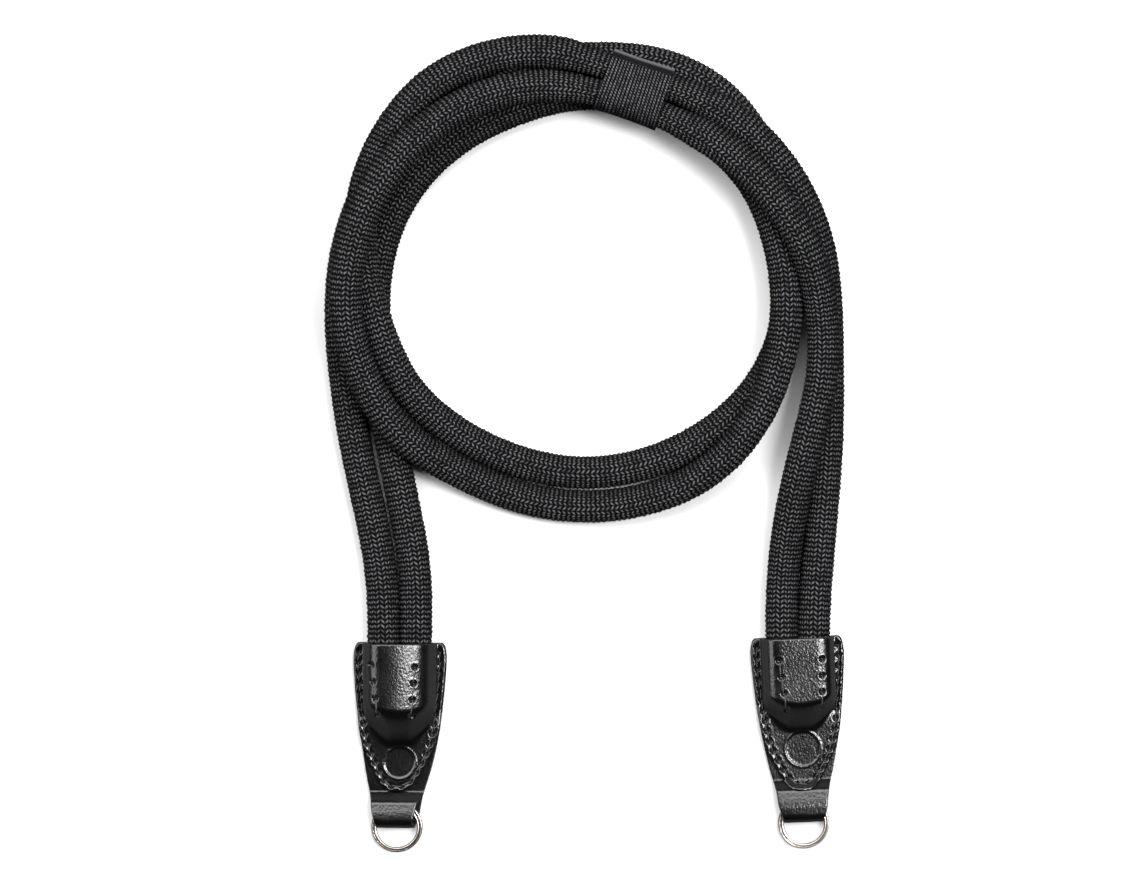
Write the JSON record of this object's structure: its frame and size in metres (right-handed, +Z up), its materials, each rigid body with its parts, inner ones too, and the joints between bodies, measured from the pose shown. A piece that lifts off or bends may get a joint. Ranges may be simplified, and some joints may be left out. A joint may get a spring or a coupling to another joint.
{
  "type": "camera rope strap",
  "caption": "Camera strap of two soft braided ropes side by side, laid in a loop, with moulded leather ends, split rings and a webbing keeper band.",
  "frame": {"origin": "middle of the box of the leather ends, rings and keeper band, on the surface that the strap lies on", "axes": "+Z up from the surface, +Y from the leather ends towards the top of the loop, +X to the right seen from above"},
  "size_m": [0.1574, 0.2467, 0.0297],
  "materials": {
    "rope": "soft black tubular braid with a zigzag row pattern, slightly silky stitches",
    "webbing": "thin black ribbed woven band",
    "leather": "smooth black leather with fine grain and a soft gloss, moulded over the rope ends",
    "ring_steel": "bright plated spring steel, two flat turns of wire"
  },
  "bodies": {
    "root": {"outer_rope": "rope", "inner_rope": "rope", "keeper_band": "webbing", "left_end_back": "leather", "left_end_front": "leather", "left_split_ring": "ring_steel", "right_end_back": "leather", "right_end_front": "leather", "right_split_ring": "ring_steel"}
  },
  "joints": []
}
